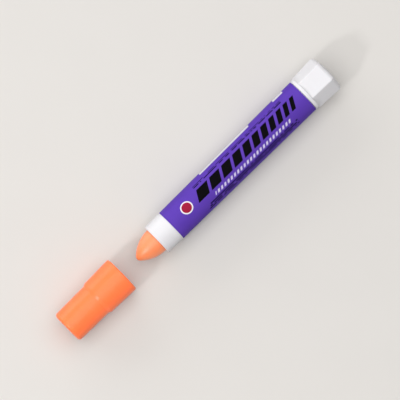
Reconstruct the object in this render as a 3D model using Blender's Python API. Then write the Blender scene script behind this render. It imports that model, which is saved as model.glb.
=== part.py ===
"""Twist-up solid paint marker, lying on a table with its cap pulled off.

Metres, +Z up. The marker's axis runs along X: the tip points to -X and the turning knob to +X.
Stations along the axis (names ending in _S) are measured from the barrel's mouth towards the knob.
The origin is on the table, under the middle of the whole length.
"""

import math

import bmesh
import bpy
from mathutils import Matrix, Vector

MM = 0.001

# Paint stick: a bullet nose on a straight stick, with a bore for the feed screw.
PAINT_RADIUS = 6.1 * MM
NOSE_LENGTH = 12.15 * MM
TIP_ROUND = 2.0 * MM
SPIGOT_STEP = 1.1 * MM
TIP_INSET = 1.2 * MM
SCREW_ROOM = 1.0 * MM

# Clearances between the pieces.
FEED_CLEARANCE = 0.25 * MM
SEAT_GAP = 0.15 * MM
RUNNING_GAP = 0.3 * MM

# Barrel: a tapered tube with four guide grooves in its bore and a seat for the label.
BARREL_WALL = 1.4 * MM
BARREL_FLARE = 0.6 * MM
COLLAR_LENGTH = 9.1 * MM
COLLAR_ROUND = 0.5 * MM
GROOVE_COUNT = 4
GROOVE_WIDTH = 2.0 * MM
GROOVE_DEPTH = 0.6 * MM
GROOVE_STOP = 1.0 * MM

# Label: a printed film glued round the barrel, with a butt seam underneath.
LABEL_LENGTH = 82.4 * MM
LABEL_FILM = 0.15 * MM
LABEL_GLUE = 0.05 * MM
LABEL_END_GAP = 0.1 * MM
LABEL_SEAM = 0.4 * MM

# Rear bush: the plug that closes the barrel and carries the screw and, behind a low land, the knob.
PLUG_LENGTH = 6.0 * MM
PLUG_BEAD = 0.25 * MM
PLUG_BEAD_HALF = 0.6 * MM
FLANGE_LENGTH = 1.5 * MM
FLANGE_STEP = 0.15 * MM
FLANGE_ROUND = 0.25 * MM
LAND_LENGTH = 0.45 * MM
LAND_STEP = 0.35 * MM
NECK_STEP = 0.8 * MM
NECK_LENGTH = 4.0 * MM
NECK_WALL = 1.8 * MM
WEB_LENGTH = 3.0 * MM

# Seal ring: a rubber ring round the screw's journal, in a pocket of the web.
SEAL_WIRE_RADIUS = 0.55 * MM

# Feed screw: a left-hand helical ridge on a core, a thrust flange, a journal and a hexagonal stem.
SCREW_CORE_RADIUS = 2.0 * MM
RIDGE_HEIGHT = 0.9 * MM
RIDGE_ROOT_WIDTH = 2.2 * MM
RIDGE_CREST_WIDTH = 1.2 * MM
SCREW_LEAD = 5.0 * MM
THREAD_CLEARANCE = 0.2 * MM
TIP_ENGAGED = 2.5 * MM
THRUST_LENGTH = 1.4 * MM
THRUST_STEP = 0.8 * MM
JOURNAL_RADIUS = 2.3 * MM
STEM_APOTHEM = 1.9 * MM
STEM_LENGTH = 7.0 * MM

# Carrier: the cup that holds the stick, with guide keys outside and a threaded hub behind.
CUP_DEPTH = 5.0 * MM
CUP_WALL = 0.8 * MM
CUP_FLOOR = 1.5 * MM
HUB_RADIUS = 4.6 * MM
HUB_LENGTH = 6.0 * MM
KEY_INSET = 0.5 * MM

# Knob: a flared hexagonal cup with a hollow boss that grips the screw's stem.
KNOB_LENGTH = 13.5 * MM
KNOB_WALL = 1.3 * MM
KNOB_FLARE = 0.55 * MM
KNOB_CORNER_ROUND = 0.7 * MM
KNOB_FRONT_BEVEL = 0.4 * MM
KNOB_END_ROUND = 1.5 * MM
KNOB_DOME = 0.65 * MM
KNOB_END_WALL = 1.6 * MM
BOSS_GAP = 0.3 * MM

# Cap: a tapered crown and a wider skirt that slides over the barrel's bare collar.
CAP_LENGTH = 34.4 * MM
CAP_SKIRT_LENGTH = 15.0 * MM
CAP_SHOULDER_LENGTH = 1.4 * MM
CAP_RIM_WALL = 1.0 * MM
CAP_SKIRT_WALL = 0.6 * MM
CAP_CROWN_WALL = 0.7 * MM
CAP_CROWN_FLARE = 0.4 * MM
CAP_END_WALL = 1.2 * MM
CAP_END_ROUND = 1.4 * MM
CAP_RIM_ROUND = 0.8 * MM
CAP_RIM_GAP = 0.3 * MM
CAP_BEAD = 0.12 * MM
CAP_BEAD_INSET = 2.5 * MM
CAP_BEAD_HALF = 0.7 * MM
CAP_AWAY = 9.3 * MM

# Cap liner: a soft stepped cup inside the cap that seals against the barrel's mouth.
LINER_CLEARANCE = 0.25 * MM
LINER_WALL = 0.45 * MM
LINER_RIM_WALL = 0.9 * MM

# Gate marks: the small dimples that the moulds leave in the cap's end and in the knob's end.
GATE_RADIUS = 0.9 * MM
GATE_DEPTH = 0.2 * MM

# Facets.
ROUND_STEPS = 48
SMALL_STEPS = 32
TURN_STEPS = 16
ARC_STEPS = 4
EDGE_STEPS = 2
NOSE_STEPS = 10
SMOOTH_ANGLE = math.radians(30)
CUT_MARGIN = 1.0 * MM

# Radii that follow from the stick outwards.
BORE_RADIUS = PAINT_RADIUS + FEED_CLEARANCE
GROOVE_RADIUS = BORE_RADIUS + GROOVE_DEPTH
COLLAR_RADIUS = BORE_RADIUS + BARREL_WALL
BARREL_REAR_RADIUS = COLLAR_RADIUS + BARREL_FLARE
LABEL_RECESS = LABEL_FILM + LABEL_GLUE
PLUG_BORE_RADIUS = GROOVE_RADIUS + SEAT_GAP
PLUG_RADIUS = PLUG_BORE_RADIUS - SEAT_GAP
FLANGE_RADIUS = BARREL_REAR_RADIUS + FLANGE_STEP
LAND_RADIUS = FLANGE_RADIUS - LAND_STEP
NECK_RADIUS = PLUG_RADIUS - NECK_STEP
NECK_BORE_RADIUS = NECK_RADIUS - NECK_WALL
BOSS_RADIUS = NECK_BORE_RADIUS - RUNNING_GAP
KNOB_BORE_RADIUS = NECK_RADIUS + RUNNING_GAP
KNOB_FRONT_APOTHEM = KNOB_BORE_RADIUS + KNOB_WALL
KNOB_REAR_APOTHEM = KNOB_FRONT_APOTHEM + KNOB_FLARE
RIDGE_RADIUS = SCREW_CORE_RADIUS + RIDGE_HEIGHT
JOURNAL_HOLE_RADIUS = JOURNAL_RADIUS + FEED_CLEARANCE
SEAL_RING_RADIUS = JOURNAL_RADIUS + RUNNING_GAP + SEAL_WIRE_RADIUS
SEAL_POCKET_RADIUS = SEAL_RING_RADIUS + SEAL_WIRE_RADIUS + RUNNING_GAP
SEAL_POCKET_DEPTH = 2 * (SEAL_WIRE_RADIUS + SEAT_GAP)
THRUST_RADIUS = SEAL_POCKET_RADIUS + THRUST_STEP
PAINT_BORE_RADIUS = RIDGE_RADIUS + FEED_CLEARANCE
CUP_RADIUS = BORE_RADIUS - FEED_CLEARANCE
CUP_BORE_RADIUS = CUP_RADIUS - CUP_WALL
SPIGOT_RADIUS = min(PAINT_RADIUS - SPIGOT_STEP, CUP_BORE_RADIUS - FEED_CLEARANCE)
LINER_BORE_RADIUS = PAINT_RADIUS + LINER_CLEARANCE
LINER_RADIUS = LINER_BORE_RADIUS + LINER_WALL
CROWN_BORE_RADIUS = LINER_RADIUS + SEAT_GAP
CAP_END_RADIUS = CROWN_BORE_RADIUS + CAP_CROWN_WALL
CAP_CROWN_RADIUS = CAP_END_RADIUS + CAP_CROWN_FLARE

# Stations along the axis that follow from the mouth to the knob.
BARREL_LENGTH = COLLAR_LENGTH + LABEL_LENGTH + 2 * LABEL_END_GAP
GROOVE_FRONT_S = COLLAR_LENGTH + GROOVE_STOP
PLUG_FRONT_S = BARREL_LENGTH - PLUG_LENGTH
PLUG_BEAD_S = BARREL_LENGTH - PLUG_LENGTH / 2
FLANGE_FRONT_S = BARREL_LENGTH + SEAT_GAP
FLANGE_REAR_S = FLANGE_FRONT_S + FLANGE_LENGTH
LAND_REAR_S = FLANGE_REAR_S + LAND_LENGTH
NECK_END_S = LAND_REAR_S + NECK_LENGTH
WEB_REAR_S = PLUG_FRONT_S + WEB_LENGTH
KNOB_FRONT_S = LAND_REAR_S + SEAT_GAP
BOSS_FRONT_S = WEB_REAR_S + BOSS_GAP
THRUST_REAR_S = PLUG_FRONT_S - RUNNING_GAP
THRUST_FRONT_S = THRUST_REAR_S - THRUST_LENGTH
SCREW_TIP_S = GROOVE_FRONT_S + CUP_DEPTH + TIP_ENGAGED
RETRACT_TRAVEL = NOSE_LENGTH + TIP_INSET
HUB_REAR_S = THRUST_FRONT_S - KEY_INSET - RETRACT_TRAVEL
CUP_REAR_S = HUB_REAR_S - HUB_LENGTH
CUP_FLOOR_S = CUP_REAR_S - CUP_FLOOR
CUP_FRONT_S = CUP_FLOOR_S - CUP_DEPTH
PAINT_BORE_END_S = SCREW_TIP_S - SCREW_ROOM - RETRACT_TRAVEL
CAP_SEATED_S = COLLAR_LENGTH - CAP_RIM_GAP
CAP_REST_S = -NOSE_LENGTH - CAP_AWAY


def barrel_radius(station):
    """Outer radius of the tapered barrel, before the label's seat is cut."""
    return COLLAR_RADIUS + BARREL_FLARE * station / BARREL_LENGTH


# The cap's skirt clears the widest part of the collar that it slides over.
CAP_BORE_RADIUS = barrel_radius(COLLAR_LENGTH) + RUNNING_GAP
CAP_RIM_RADIUS = CAP_BORE_RADIUS + CAP_RIM_WALL
CAP_SKIRT_RADIUS = CAP_BORE_RADIUS + CAP_SKIRT_WALL
LINER_RIM_RADIUS = CAP_BORE_RADIUS - SEAT_GAP
LINER_DEPTH = CAP_SEATED_S + SEAT_GAP
CAP_STEP_DEPTH = CAP_SKIRT_LENGTH - CAP_CROWN_WALL

# The object's own frame: the cap's rim lies with a flat on the table, and the length is centred on X = 0.
KNOB_END_S = KNOB_FRONT_S + KNOB_LENGTH
CAP_END_S = CAP_REST_S - CAP_LENGTH
MIDDLE_S = (KNOB_END_S + CAP_END_S) / 2
AXIS_HEIGHT = CAP_RIM_RADIUS * math.cos(math.pi / ROUND_STEPS)


def clear_scene():
    for old in list(bpy.data.objects):
        bpy.data.objects.remove(old, do_unlink=True)


def plastic(name, colour, roughness):
    """A material with the piece's colour as linear red, green and blue."""
    made = bpy.data.materials.new(name)
    made.use_nodes = True
    shader = made.node_tree.nodes["Principled BSDF"]
    shader.inputs["Base Color"].default_value = (*colour, 1.0)
    shader.inputs["Roughness"].default_value = roughness
    shader.inputs["Metallic"].default_value = 0.0
    return made


def pivot(name, parent, station):
    """An empty on the marker's axis, at a station in front of or behind its parent."""
    empty = bpy.data.objects.new(name, None)
    bpy.context.scene.collection.objects.link(empty)
    empty.parent = parent
    empty.location = (station, 0, 0)
    return empty


def add_object(name, bm, parent, material):
    """Turns a bmesh into a smooth-shaded object under its pivot."""
    bmesh.ops.recalc_face_normals(bm, faces=bm.faces)
    mesh = bpy.data.meshes.new(name)
    bm.to_mesh(mesh)
    bm.free()
    mesh.shade_smooth()
    mesh.set_sharp_from_angle(angle=SMOOTH_ANGLE)
    if material:
        mesh.materials.append(material)
    made = bpy.data.objects.new(name, mesh)
    bpy.context.scene.collection.objects.link(made)
    made.parent = parent
    return made


def arc(centre, radius, start, end, steps=ARC_STEPS):
    """Points (station, radius) of an arc, with its angles in degrees from the +X direction."""
    angles = [math.radians(start + (end - start) * i / steps) for i in range(steps + 1)]
    return [(centre[0] + radius * math.cos(a), centre[1] + radius * math.sin(a)) for a in angles]


def turned(name, profile, parent, material=None, steps=ROUND_STEPS, gap=0.0):
    """Spins a profile of (station, radius) points about the axis.

    A profile that starts and ends on the axis stays open, and any other is closed into a ring.
    The facets are turned by half a step, so that a flat and not an edge lies underneath.
    A gap leaves a slit of that angle on the underside, as in a film that wraps round.
    """
    bm = bmesh.new()
    points = [bm.verts.new((x, 0, r)) for x, r in profile]
    on_axis = profile[0][1] == 0 and profile[-1][1] == 0
    pairs = list(zip(points, points[1:]))
    if not on_axis:
        pairs.append((points[-1], points[0]))
    edges = [bm.edges.new(pair) for pair in pairs]
    sweep = {"cent": (0, 0, 0), "axis": (1, 0, 0), "steps": steps}
    start = math.pi + gap / 2 if gap else math.pi / steps
    bmesh.ops.rotate(bm, verts=points, matrix=Matrix.Rotation(start, 3, "X"))
    if gap:
        made = bmesh.ops.spin(bm, geom=points + edges, angle=2 * math.pi - gap, **sweep)
        bm.faces.new(points)
        bm.faces.new(ring_of(made["geom_last"]))
    else:
        bmesh.ops.spin(bm, geom=points + edges, angle=2 * math.pi, use_merge=True, **sweep)
    bmesh.ops.remove_doubles(bm, verts=bm.verts, dist=1e-7)
    return add_object(name, bm, parent, material)


def ring_of(geometry):
    """The vertices of a loop of edges, in order round the loop."""
    edges = [part for part in geometry if isinstance(part, bmesh.types.BMEdge)]
    ordered = [edges[0].verts[0]]
    here = edges[0].verts[1]
    left = edges[1:]
    while left:
        ordered.append(here)
        step = next(edge for edge in left if here in edge.verts)
        left.remove(step)
        here = step.other_vert(here)
    return ordered


def lofted(name, rings, parent, material=None):
    """Skins rings of equally many points, in order, and closes both ends."""
    bm = bmesh.new()
    loops = [[bm.verts.new(point) for point in ring] for ring in rings]
    count = len(loops[0])
    for near, far in zip(loops, loops[1:]):
        for i in range(count):
            following = (i + 1) % count
            bm.faces.new((near[i], near[following], far[following], far[i]))
    bm.faces.new(loops[0])
    bm.faces.new(loops[-1])
    return add_object(name, bm, parent, material)


def boolean(target, tool, operation):
    """Cuts a hidden tool out of a piece, or joins it on."""
    modifier = target.modifiers.new(tool.name, "BOOLEAN")
    modifier.object = tool
    modifier.operation = operation
    modifier.solver = "EXACT"
    tool.hide_render = True
    tool.display_type = "WIRE"


def hexagon(station, apothem, corner_round, steps=ARC_STEPS):
    """A ring with six flats, two of them level, and rounded corners."""
    corner = (apothem - corner_round) / math.cos(math.pi / 6)
    points = []
    for side in range(6):
        middle = math.radians(60 * side)
        for i in range(steps + 1):
            turn = middle + math.radians(60 * i / steps - 30)
            points.append((
                station,
                corner * math.cos(middle) + corner_round * math.cos(turn),
                corner * math.sin(middle) + corner_round * math.sin(turn),
            ))
    return points


def helix_ridge(name, parent, start, turns, clearance=0.0):
    """A left-hand helical ridge from a station on, grown by a clearance where it cuts a nut."""
    foot = SCREW_CORE_RADIUS - RIDGE_HEIGHT / 2
    half_foot = RIDGE_ROOT_WIDTH / 2 + clearance
    half_crest = RIDGE_CREST_WIDTH / 2 + clearance
    crest = RIDGE_RADIUS + clearance
    section = [(-half_foot, foot), (-half_crest, crest), (half_crest, crest), (half_foot, foot)]
    rings = []
    for i in range(round(turns * TURN_STEPS) + 1):
        turn = Matrix.Rotation(-2 * math.pi * i / TURN_STEPS, 3, "X")
        forward = Vector((start + SCREW_LEAD * i / TURN_STEPS, 0, 0))
        rings.append([forward + turn @ Vector((x, 0, r)) for x, r in section])
    return lofted(name, rings, parent)


def splines(name, parent, front, rear, inner, outer, width):
    """Bars along the axis, one for each guide groove, in one tool."""
    bm = bmesh.new()
    for i in range(GROOVE_COUNT):
        made = bmesh.ops.create_cube(bm, size=1.0)
        size = Matrix.Diagonal((rear - front, width, outer - inner, 1.0))
        place = Matrix.Translation(((front + rear) / 2, 0, (inner + outer) / 2))
        turn = Matrix.Rotation(2 * math.pi * (i + 0.5) / GROOVE_COUNT, 4, "X")
        bmesh.ops.transform(bm, verts=made["verts"], matrix=turn @ place @ size)
    return add_object(name, bm, parent, None)


def make_barrel(marker, material):
    recess = [
        (COLLAR_LENGTH, barrel_radius(COLLAR_LENGTH)),
        (COLLAR_LENGTH, barrel_radius(COLLAR_LENGTH) - LABEL_RECESS),
        (BARREL_LENGTH, barrel_radius(BARREL_LENGTH) - LABEL_RECESS),
    ]
    snap_groove = [
        (PLUG_BEAD_S + PLUG_BEAD_HALF, PLUG_BORE_RADIUS),
        (PLUG_BEAD_S, PLUG_BORE_RADIUS + PLUG_BEAD),
        (PLUG_BEAD_S - PLUG_BEAD_HALF, PLUG_BORE_RADIUS),
    ]
    mouth = arc((COLLAR_ROUND, COLLAR_RADIUS - COLLAR_ROUND), COLLAR_ROUND, 180, 90)
    profile = (
        [(0, BORE_RADIUS)]
        + mouth
        + recess
        + [(BARREL_LENGTH, PLUG_BORE_RADIUS)]
        + snap_groove
        + [(PLUG_FRONT_S - SEAT_GAP, PLUG_BORE_RADIUS), (PLUG_FRONT_S - SEAT_GAP, BORE_RADIUS)]
    )
    barrel = turned("barrel", profile, marker, material)
    grooves = splines(
        "guide_groove_cutter",
        marker,
        GROOVE_FRONT_S,
        PLUG_FRONT_S + CUT_MARGIN,
        BORE_RADIUS - CUT_MARGIN,
        GROOVE_RADIUS,
        GROOVE_WIDTH,
    )
    boolean(barrel, grooves, "DIFFERENCE")


def make_label(marker, material):
    front = COLLAR_LENGTH + LABEL_END_GAP
    rear = front + LABEL_LENGTH
    profile = [
        (front, barrel_radius(front) - LABEL_FILM),
        (front, barrel_radius(front)),
        (rear, barrel_radius(rear)),
        (rear, barrel_radius(rear) - LABEL_FILM),
    ]
    turned("label", profile, marker, material, gap=LABEL_SEAM / COLLAR_RADIUS)


def make_rear_bush(marker, material):
    snap_bead = [
        (PLUG_BEAD_S - PLUG_BEAD_HALF, PLUG_RADIUS),
        (PLUG_BEAD_S, PLUG_RADIUS + PLUG_BEAD),
        (PLUG_BEAD_S + PLUG_BEAD_HALF, PLUG_RADIUS),
    ]
    crest = FLANGE_RADIUS - FLANGE_ROUND
    outside = (
        [(FLANGE_FRONT_S, PLUG_RADIUS)]
        + arc((FLANGE_FRONT_S + FLANGE_ROUND, crest), FLANGE_ROUND, 180, 90, EDGE_STEPS)
        + arc((FLANGE_REAR_S - FLANGE_ROUND, crest), FLANGE_ROUND, 90, 0, EDGE_STEPS)
        + [
            (FLANGE_REAR_S, LAND_RADIUS),
            (LAND_REAR_S, LAND_RADIUS),
            (LAND_REAR_S, NECK_RADIUS),
            (NECK_END_S, NECK_RADIUS),
            (NECK_END_S, NECK_BORE_RADIUS),
        ]
    )
    inside = [
        (WEB_REAR_S, NECK_BORE_RADIUS),
        (WEB_REAR_S, JOURNAL_HOLE_RADIUS),
        (PLUG_FRONT_S + SEAL_POCKET_DEPTH, JOURNAL_HOLE_RADIUS),
        (PLUG_FRONT_S + SEAL_POCKET_DEPTH, SEAL_POCKET_RADIUS),
        (PLUG_FRONT_S, SEAL_POCKET_RADIUS),
    ]
    profile = [(PLUG_FRONT_S, PLUG_RADIUS)] + snap_bead + outside + inside
    turned("rear_bush", profile, marker, material)


def make_seal_ring(marker, material):
    centre = (PLUG_FRONT_S + SEAL_POCKET_DEPTH / 2, SEAL_RING_RADIUS)
    wire = arc(centre, SEAL_WIRE_RADIUS, 0, 360, 2 * ARC_STEPS)[:-1]
    turned("seal_ring", wire, marker, material, SMALL_STEPS)


def make_feed_screw(knob_turn, material):
    chamfer = RIDGE_HEIGHT / 2
    profile = [
        (SCREW_TIP_S, 0),
        (SCREW_TIP_S, SCREW_CORE_RADIUS - chamfer),
        (SCREW_TIP_S + chamfer, SCREW_CORE_RADIUS),
        (THRUST_FRONT_S, SCREW_CORE_RADIUS),
        (THRUST_FRONT_S, THRUST_RADIUS),
        (THRUST_REAR_S, THRUST_RADIUS),
        (THRUST_REAR_S, JOURNAL_RADIUS),
        (WEB_REAR_S, JOURNAL_RADIUS),
        (WEB_REAR_S, 0),
    ]
    shifted = [(station - KNOB_FRONT_S, radius) for station, radius in profile]
    screw = turned("feed_screw", shifted, knob_turn, material, TURN_STEPS)
    thread_length = THRUST_FRONT_S - SCREW_TIP_S - RIDGE_ROOT_WIDTH
    start = SCREW_TIP_S + RIDGE_ROOT_WIDTH / 2 - KNOB_FRONT_S
    ridge = helix_ridge("screw_ridge_tool", knob_turn, start, thread_length / SCREW_LEAD)
    boolean(screw, ridge, "UNION")
    stem_front = WEB_REAR_S - CUT_MARGIN - KNOB_FRONT_S
    stem_rear = WEB_REAR_S + STEM_LENGTH - KNOB_FRONT_S
    rings = [hexagon(x, STEM_APOTHEM, SEAT_GAP, 1) for x in (stem_front, stem_rear)]
    boolean(screw, lofted("screw_stem_tool", rings, knob_turn), "UNION")


def make_knob(knob_turn, material):
    def apothem(x):
        return KNOB_FRONT_APOTHEM + KNOB_FLARE * x / KNOB_LENGTH

    end = KNOB_LENGTH - KNOB_DOME
    bevel_start = end - KNOB_END_ROUND
    rings = [
        hexagon(0, apothem(0) - KNOB_FRONT_BEVEL, KNOB_CORNER_ROUND),
        hexagon(KNOB_FRONT_BEVEL, apothem(KNOB_FRONT_BEVEL), KNOB_CORNER_ROUND),
    ]
    for x, height in arc((bevel_start, 0), KNOB_END_ROUND, 90, 0):
        rings.append(hexagon(x, apothem(bevel_start) - KNOB_END_ROUND + height, KNOB_CORNER_ROUND))
    flat = apothem(bevel_start) - KNOB_END_ROUND
    middle = 1 / ARC_STEPS
    for i in range(1, ARC_STEPS):
        share = 1 - i * middle
        rise = KNOB_DOME * (1 - share**2) / (1 - middle**2)
        rings.append(hexagon(end + rise, flat * share, KNOB_CORNER_ROUND * share))
    return lofted("knob", rings, knob_turn, material)


def make_knob_bore(knob, knob_turn):
    """Hollows the knob round a boss with a hexagonal socket for the screw's stem, and dimples its end."""
    boss_front = BOSS_FRONT_S - KNOB_FRONT_S
    bottom = KNOB_LENGTH - KNOB_DOME - KNOB_END_WALL
    hollow = [
        (-CUT_MARGIN, BOSS_RADIUS),
        (-CUT_MARGIN, KNOB_BORE_RADIUS),
        (bottom, KNOB_BORE_RADIUS),
        (bottom, BOSS_RADIUS),
    ]
    boolean(knob, turned("knob_hollow_cutter", hollow, knob_turn), "DIFFERENCE")
    boss = [
        (boss_front, 0),
        (boss_front, BOSS_RADIUS),
        (bottom + CUT_MARGIN / 2, BOSS_RADIUS),
        (bottom + CUT_MARGIN / 2, 0),
    ]
    boolean(knob, turned("knob_boss_tool", boss, knob_turn), "UNION")
    socket_rear = WEB_REAR_S + STEM_LENGTH + SEAT_GAP - KNOB_FRONT_S
    rings = [
        hexagon(x, STEM_APOTHEM + SEAT_GAP, SEAT_GAP, 1) for x in (boss_front - CUT_MARGIN, socket_rear)
    ]
    boolean(knob, lofted("knob_socket_cutter", rings, knob_turn), "DIFFERENCE")
    dimple = [
        (KNOB_LENGTH - GATE_DEPTH, 0),
        (KNOB_LENGTH - GATE_DEPTH, GATE_RADIUS),
        (KNOB_LENGTH + CUT_MARGIN, GATE_RADIUS),
        (KNOB_LENGTH + CUT_MARGIN, 0),
    ]
    boolean(knob, turned("knob_gate_cutter", dimple, knob_turn, steps=TURN_STEPS), "DIFFERENCE")


def make_carrier(paint_feed, material):
    profile = [
        (CUP_FRONT_S, CUP_BORE_RADIUS),
        (CUP_FRONT_S, CUP_RADIUS),
        (CUP_REAR_S, CUP_RADIUS),
        (CUP_REAR_S, HUB_RADIUS),
        (HUB_REAR_S, HUB_RADIUS),
        (HUB_REAR_S, SCREW_CORE_RADIUS + THREAD_CLEARANCE),
        (CUP_FLOOR_S, SCREW_CORE_RADIUS + THREAD_CLEARANCE),
        (CUP_FLOOR_S, CUP_BORE_RADIUS),
    ]
    carrier = turned("carrier", profile, paint_feed, material)
    keys = splines(
        "carrier_key_tool",
        paint_feed,
        CUP_FRONT_S + KEY_INSET,
        CUP_REAR_S - KEY_INSET,
        CUP_RADIUS - CUP_WALL / 2,
        GROOVE_RADIUS - FEED_CLEARANCE,
        GROOVE_WIDTH - 2 * FEED_CLEARANCE,
    )
    boolean(carrier, keys, "UNION")
    ridge_start = SCREW_TIP_S + RIDGE_ROOT_WIDTH / 2
    skipped = math.floor((CUP_FLOOR_S - ridge_start) / SCREW_LEAD) - 1
    turns = math.ceil((HUB_REAR_S - CUP_FLOOR_S) / SCREW_LEAD) + 3
    thread = helix_ridge(
        "carrier_thread_cutter", paint_feed, ridge_start + skipped * SCREW_LEAD, turns, THREAD_CLEARANCE
    )
    boolean(carrier, thread, "DIFFERENCE")


def nose_profile():
    """A tangent ogive from the stick's radius to a rounded tip."""
    reach = NOSE_LENGTH - TIP_ROUND
    ogive = (reach**2 - TIP_ROUND**2 + PAINT_RADIUS**2) / (2 * (PAINT_RADIUS - TIP_ROUND))
    meeting = math.degrees(math.acos(reach / (ogive - TIP_ROUND)))
    tip = arc((-reach, 0), TIP_ROUND, 180, 180 - meeting)
    side = arc((0, PAINT_RADIUS - ogive), ogive, 180 - meeting, 90, NOSE_STEPS)
    return [(-NOSE_LENGTH, 0)] + tip[1:] + side[1:]


def make_paint_stick(paint_feed, material):
    shoulder = CUP_FRONT_S - SEAT_GAP
    rear = CUP_FLOOR_S - SEAT_GAP
    profile = nose_profile() + [
        (shoulder, PAINT_RADIUS),
        (shoulder, SPIGOT_RADIUS),
        (rear, SPIGOT_RADIUS),
        (rear, PAINT_BORE_RADIUS),
        (PAINT_BORE_END_S, PAINT_BORE_RADIUS),
        (PAINT_BORE_END_S, 0),
    ]
    turned("paint_stick", profile, paint_feed, material)


def make_cap(cap_slide, material):
    end_centre = (CAP_END_ROUND - CAP_LENGTH, CAP_END_RADIUS - CAP_END_ROUND)
    rim_centre = (-CAP_RIM_ROUND, CAP_RIM_RADIUS - CAP_RIM_ROUND)
    gate_floor = GATE_DEPTH - CAP_LENGTH
    outside = (
        [(gate_floor, 0), (gate_floor, GATE_RADIUS), (-CAP_LENGTH, GATE_RADIUS)]
        + arc(end_centre, CAP_END_ROUND, 180, 90)
        + [
            (-CAP_SKIRT_LENGTH - CAP_SHOULDER_LENGTH, CAP_CROWN_RADIUS),
            (-CAP_SKIRT_LENGTH, CAP_SKIRT_RADIUS),
        ]
        + arc(rim_centre, CAP_RIM_ROUND, 90, 0)
    )
    inside = [
        (0, CAP_BORE_RADIUS),
        (CAP_BEAD_HALF - CAP_BEAD_INSET, CAP_BORE_RADIUS),
        (-CAP_BEAD_INSET, CAP_BORE_RADIUS - CAP_BEAD),
        (-CAP_BEAD_HALF - CAP_BEAD_INSET, CAP_BORE_RADIUS),
        (-CAP_STEP_DEPTH, CAP_BORE_RADIUS),
        (-CAP_STEP_DEPTH, CROWN_BORE_RADIUS),
        (CAP_END_WALL - CAP_LENGTH, CROWN_BORE_RADIUS),
        (CAP_END_WALL - CAP_LENGTH, 0),
    ]
    turned("cap", outside + inside, cap_slide, material)


def make_cap_liner(cap_slide, material):
    bottom = CAP_END_WALL + SEAT_GAP - CAP_LENGTH
    step = SEAT_GAP - CAP_STEP_DEPTH
    rim_bore = LINER_RIM_RADIUS - LINER_RIM_WALL
    profile = [
        (bottom, 0),
        (bottom, LINER_RADIUS),
        (step, LINER_RADIUS),
        (step, LINER_RIM_RADIUS),
        (-LINER_DEPTH, LINER_RIM_RADIUS),
        (-LINER_DEPTH, rim_bore),
        (step + LINER_WALL, rim_bore),
        (step + LINER_WALL, LINER_BORE_RADIUS),
        (bottom + LINER_WALL, LINER_BORE_RADIUS),
        (bottom + LINER_WALL, 0),
    ]
    turned("cap_liner", profile, cap_slide, material)


def main():
    clear_scene()
    white = plastic("white_polypropylene", (0.86, 0.86, 0.88), 0.35)
    film = plastic("violet_label_film", (0.10, 0.045, 0.41), 0.4)
    paint = plastic("orange_solid_paint", (1.0, 0.27, 0.10), 0.6)
    orange = plastic("orange_polypropylene", (1.0, 0.25, 0.07), 0.38)
    natural = plastic("natural_polyethylene", (0.78, 0.78, 0.76), 0.45)
    rubber = plastic("black_rubber", (0.02, 0.02, 0.02), 0.7)

    marker = pivot("marker_axis", None, -MIDDLE_S)
    marker.location.z = AXIS_HEIGHT
    knob_turn = pivot("knob_turn_axis", marker, KNOB_FRONT_S)
    paint_feed = pivot("paint_feed_axis", marker, 0)
    cap_slide = pivot("cap_slide_axis", marker, CAP_REST_S)

    make_barrel(marker, white)
    make_label(marker, film)
    make_rear_bush(marker, white)
    make_seal_ring(marker, rubber)
    make_feed_screw(knob_turn, natural)
    make_knob_bore(make_knob(knob_turn, white), knob_turn)
    make_carrier(paint_feed, natural)
    make_paint_stick(paint_feed, paint)
    make_cap(cap_slide, orange)
    make_cap_liner(cap_slide, natural)


main()
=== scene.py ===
import math

import bmesh
import bpy
from mathutils import Matrix, Vector


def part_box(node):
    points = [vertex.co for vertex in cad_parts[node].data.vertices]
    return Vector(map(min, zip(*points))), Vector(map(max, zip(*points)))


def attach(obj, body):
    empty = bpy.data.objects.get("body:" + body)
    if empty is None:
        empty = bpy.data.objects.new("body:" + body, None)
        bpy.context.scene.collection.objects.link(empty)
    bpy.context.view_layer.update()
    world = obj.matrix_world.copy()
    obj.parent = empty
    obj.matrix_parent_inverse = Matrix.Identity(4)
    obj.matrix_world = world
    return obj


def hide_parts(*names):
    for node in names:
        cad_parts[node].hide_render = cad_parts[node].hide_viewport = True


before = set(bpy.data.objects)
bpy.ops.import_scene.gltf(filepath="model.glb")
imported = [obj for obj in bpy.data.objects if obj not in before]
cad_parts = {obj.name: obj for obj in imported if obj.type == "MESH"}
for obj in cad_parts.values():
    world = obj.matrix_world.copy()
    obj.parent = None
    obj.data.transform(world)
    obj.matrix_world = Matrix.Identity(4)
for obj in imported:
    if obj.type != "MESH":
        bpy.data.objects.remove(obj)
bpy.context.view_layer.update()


# Barrel: the white tube that holds the paint and its drive, one polypropylene moulding with a slight draft.
# Its bare front end is the collar that the cap slides over, and the label is glued round the rest.
# Four grooves in the bore keep the carrier from turning, and a ring groove at the rear takes the plug's bead.
MM = 0.001
ROUND_STEPS = 160
CRISP_ANGLE = math.radians(40)
MERGE_DISTANCE = 0.0001 * MM
COLLAR_RADIUS = 7.75 * MM
BARREL_FLARE = 0.6 * MM
BORE_RADIUS = 6.35 * MM
MOUTH_ROUND = 0.45 * MM
MOUTH_BREAK = 0.15 * MM
LABEL_SEAT = 0.2 * MM
LABEL_SEAT_ROUND = 0.04 * MM
LABEL_END_GAP = 0.1 * MM
PLUG_BORE_RADIUS = 7.1 * MM
PLUG_DEPTH = 6.15 * MM
SNAP_BEAD = 0.25 * MM
SNAP_BEAD_RAMP = 0.6 * MM
SNAP_BEAD_ROUND = 0.3 * MM
GROOVE_COUNT = 4
GROOVE_WIDTH = 2.0 * MM
GROOVE_RADIUS = 6.95 * MM
GROOVE_STOP = 1.0 * MM
GROOVE_OVERRUN = 1.0 * MM

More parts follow.
